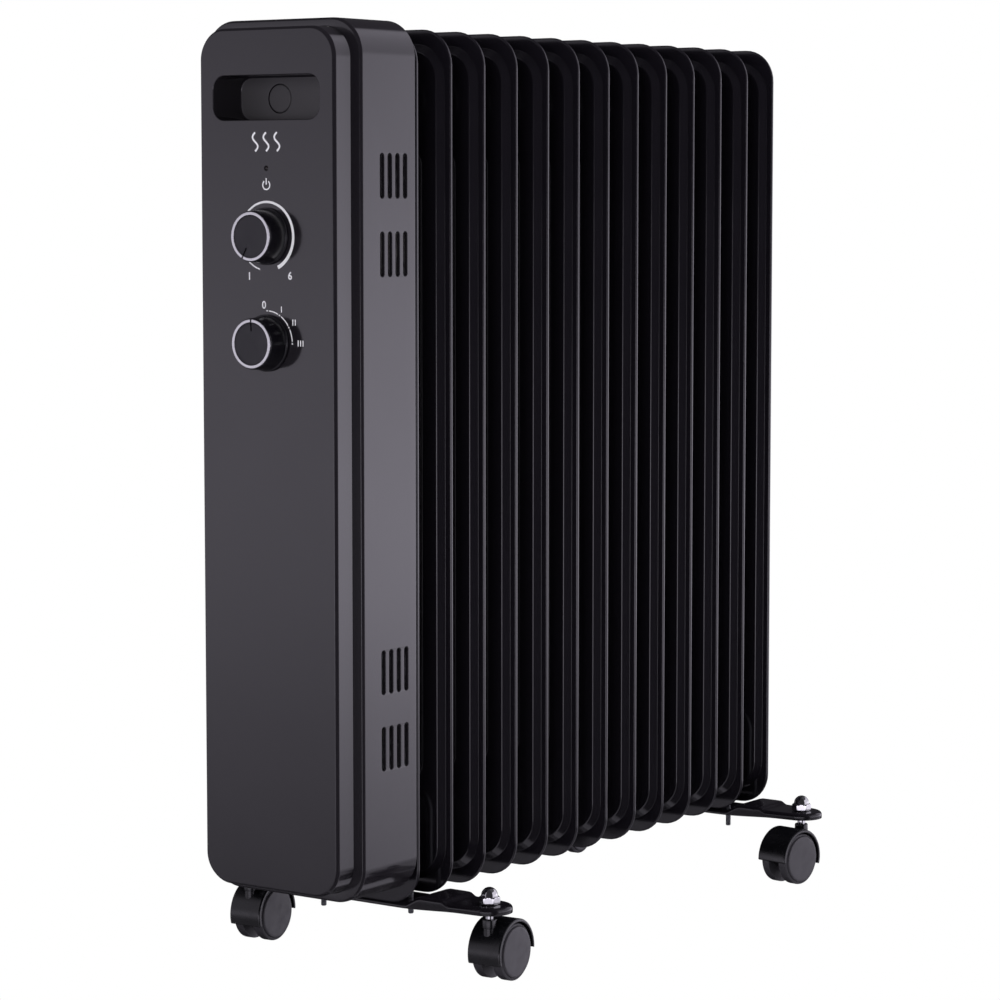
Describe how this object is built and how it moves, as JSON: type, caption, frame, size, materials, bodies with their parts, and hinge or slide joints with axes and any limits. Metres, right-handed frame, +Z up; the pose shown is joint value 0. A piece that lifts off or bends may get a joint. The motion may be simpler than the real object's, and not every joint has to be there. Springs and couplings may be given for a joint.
{
  "type": "oil filled radiator heater",
  "caption": "Oil filled radiator heater: a row of pressed steel fins with a control box at one end, two dials, a grip recess and twin-wheel castors.",
  "frame": {"origin": "on the floor, under the middle of the heater's whole width and length", "axes": "+Z up, X across the fins, Y along the row of fins; the control box faces -Y"},
  "size_m": [0.2364, 0.562, 0.6337],
  "materials": {
    "fin_enamel": "gloss black stoved enamel on pressed steel",
    "box_plastic": "gloss dark grey moulded plastic",
    "inner_plastic": "cream heat-resistant moulding",
    "galvanised": "bright zinc plated steel",
    "chrome": "polished nickel-chrome plate",
    "foot_enamel": "gloss black enamel on pressed steel",
    "castor_nylon": "black moulded nylon, satin",
    "wheel_nylon": "dark grey moulded nylon, satin",
    "knob_plastic": "gloss black moulded plastic",
    "knob_ring": "bright metallised ring",
    "rubber": "black rubber",
    "lamp_lens": "dark red translucent lens, unlit"
  },
  "bodies": {
    "root": {"fin_01": "fin_enamel", "fin_02": "fin_enamel", "fin_03": "fin_enamel", "fin_04": "fin_enamel", "fin_05": "fin_enamel", "fin_06": "fin_enamel", "fin_07": "fin_enamel", "fin_08": "fin_enamel", "fin_09": "fin_enamel", "fin_10": "fin_enamel", "fin_11": "fin_enamel", "fin_12": "fin_enamel", "fin_13": "fin_enamel", "lower_header": "fin_enamel", "upper_header": "fin_enamel", "oil_plug": "galvanised", "heating_element": "galvanised", "housing": "box_plastic", "fascia": "box_plastic", "recess_plug": "box_plastic", "heat_shield": "galvanised", "thermostat": "inner_plastic", "selector_switch": "inner_plastic", "pilot_lamp": "lamp_lens", "terminal_block": "inner_plastic", "cord_inlet": "rubber", "front_foot_bracket": "foot_enamel", "front_u_bolt": "galvanised", "front_clamp_nut_right": "galvanised", "front_clamp_nut_left": "galvanised", "rear_foot_bracket": "foot_enamel", "rear_u_bolt": "galvanised", "rear_clamp_nut_right": "galvanised", "rear_clamp_nut_left": "galvanised", "front_right_cap_nut": "chrome", "front_right_stem": "chrome", "front_left_cap_nut": "chrome", "front_left_stem": "chrome", "rear_right_cap_nut": "chrome", "rear_right_stem": "chrome", "rear_left_cap_nut": "chrome", "rear_left_stem": "chrome"},
    "thermostat_dial": {"thermostat_shaft": "galvanised", "thermostat_knob": "knob_plastic", "thermostat_knob_ring": "knob_ring"},
    "selector_dial": {"selector_shaft": "galvanised", "selector_knob": "knob_plastic", "selector_knob_ring": "knob_ring"},
    "front_right_swivel": {"front_right_hood": "castor_nylon"},
    "front_right_wheel_a_spin": {"front_right_wheel_a": "wheel_nylon"},
    "front_right_wheel_b_spin": {"front_right_wheel_b": "wheel_nylon"},
    "front_left_swivel": {"front_left_hood": "castor_nylon"},
    "front_left_wheel_a_spin": {"front_left_wheel_a": "wheel_nylon"},
    "front_left_wheel_b_spin": {"front_left_wheel_b": "wheel_nylon"},
    "rear_right_swivel": {"rear_right_hood": "castor_nylon"},
    "rear_right_wheel_a_spin": {"rear_right_wheel_a": "wheel_nylon"},
    "rear_right_wheel_b_spin": {"rear_right_wheel_b": "wheel_nylon"},
    "rear_left_swivel": {"rear_left_hood": "castor_nylon"},
    "rear_left_wheel_a_spin": {"rear_left_wheel_a": "wheel_nylon"},
    "rear_left_wheel_b_spin": {"rear_left_wheel_b": "wheel_nylon"}
  },
  "joints": [
    {"name": "thermostat_turn", "type": "hinge", "parent": "root", "child": "thermostat_dial", "pos_m": [0, -0.26435, 0.4946], "axis": [0, 1, 0], "range_deg": [0, 300]},
    {"name": "selector_turn", "type": "hinge", "parent": "root", "child": "selector_dial", "pos_m": [0, -0.26435, 0.4259], "axis": [0, 1, 0], "range_deg": [0, 90]},
    {"name": "front_right_swivel_turn", "type": "hinge", "parent": "root", "child": "front_right_swivel", "pos_m": [0.1027, -0.16185, 0.04], "axis": [0, 0, 1], "continuous": true},
    {"name": "front_right_wheel_a_roll", "type": "hinge", "parent": "front_right_swivel", "child": "front_right_wheel_a_spin", "pos_m": [0.10186, -0.14727, 0.0193], "axis": [0.9983, 0.0576, 0], "continuous": true},
    {"name": "front_right_wheel_b_roll", "type": "hinge", "parent": "front_right_swivel", "child": "front_right_wheel_b_spin", "pos_m": [0.10186, -0.14727, 0.0193], "axis": [0.9983, 0.0576, 0], "continuous": true},
    {"name": "front_left_swivel_turn", "type": "hinge", "parent": "root", "child": "front_left_swivel", "pos_m": [-0.1027, -0.16185, 0.04], "axis": [0, 0, 1], "continuous": true},
    {"name": "front_left_wheel_a_roll", "type": "hinge", "parent": "front_left_swivel", "child": "front_left_wheel_a_spin", "pos_m": [-0.10377, -0.14729, 0.0193], "axis": [0.9973, 0.0732, 0], "continuous": true},
    {"name": "front_left_wheel_b_roll", "type": "hinge", "parent": "front_left_swivel", "child": "front_left_wheel_b_spin", "pos_m": [-0.10377, -0.14729, 0.0193], "axis": [0.9973, 0.0732, 0], "continuous": true},
    {"name": "rear_right_swivel_turn", "type": "hinge", "parent": "root", "child": "rear_right_swivel", "pos_m": [0.1027, 0.24615, 0.04], "axis": [0, 0, 1], "continuous": true},
    {"name": "rear_right_wheel_a_roll", "type": "hinge", "parent": "rear_right_swivel", "child": "rear_right_wheel_a_spin", "pos_m": [0.10082, 0.23167, 0.0193], "axis": [-0.9917, 0.1288, 0], "continuous": true},
    {"name": "rear_right_wheel_b_roll", "type": "hinge", "parent": "rear_right_swivel", "child": "rear_right_wheel_b_spin", "pos_m": [0.10082, 0.23167, 0.0193], "axis": [-0.9917, 0.1288, 0], "continuous": true},
    {"name": "rear_left_swivel_turn", "type": "hinge", "parent": "root", "child": "rear_left_swivel", "pos_m": [-0.1027, 0.24615, 0.04], "axis": [0, 0, 1], "continuous": true},
    {"name": "rear_left_wheel_a_roll", "type": "hinge", "parent": "rear_left_swivel", "child": "rear_left_wheel_a_spin", "pos_m": [-0.10194, 0.23157, 0.0193], "axis": [-0.9986, -0.0523, 0], "continuous": true},
    {"name": "rear_left_wheel_b_roll", "type": "hinge", "parent": "rear_left_swivel", "child": "rear_left_wheel_b_spin", "pos_m": [-0.10194, 0.23157, 0.0193], "axis": [-0.9986, -0.0523, 0], "continuous": true}
  ]
}
